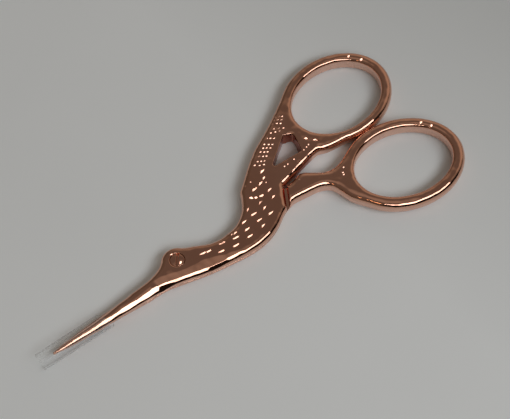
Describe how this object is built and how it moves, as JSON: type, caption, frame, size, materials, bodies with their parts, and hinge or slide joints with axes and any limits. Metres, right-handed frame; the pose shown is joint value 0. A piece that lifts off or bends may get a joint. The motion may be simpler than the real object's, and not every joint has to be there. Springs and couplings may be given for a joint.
{
  "type": "stork embroidery scissors",
  "caption": "Small embroidery scissors shaped as a stork, its beak the crossing blades, hinged on a slotted eye screw, finger rings behind, clear guard sleeve over the tips.",
  "frame": {"origin": "on the pivot axis, in the plane that the closed scissors lie on", "axes": "-X towards the blade tips and +X towards the finger rings, +Y towards the stork's back, +Z along the pivot axis, up out of the resting plane"},
  "size_m": [0.0985, 0.0437, 0.0033],
  "materials": {
    "rose_gold_plating": "polished rose-gold plating over forged steel",
    "screw_plating": "polished rose-gold plating over turned steel",
    "clear_vinyl": "clear soft vinyl tube"
  },
  "bodies": {
    "rear_half": {"rear_half": "rose_gold_plating", "pivot_screw": "screw_plating"},
    "front_half": {"front_half": "rose_gold_plating"},
    "tip_sleeve": {"tip_sleeve": "clear_vinyl"}
  },
  "joints": [
    {"name": "pivot", "type": "hinge", "parent": "rear_half", "child": "front_half", "pos_m": [0, 0, 0.00165], "axis": [0, 0, 1], "range_deg": [0, 70], "deforming": ["tip_sleeve"]},
    {"name": "sleeve_slide", "type": "slide", "parent": "front_half", "child": "tip_sleeve", "axis": [-0.9988, 0.0479, 0], "range_m": [0, 0.024]}
  ]
}
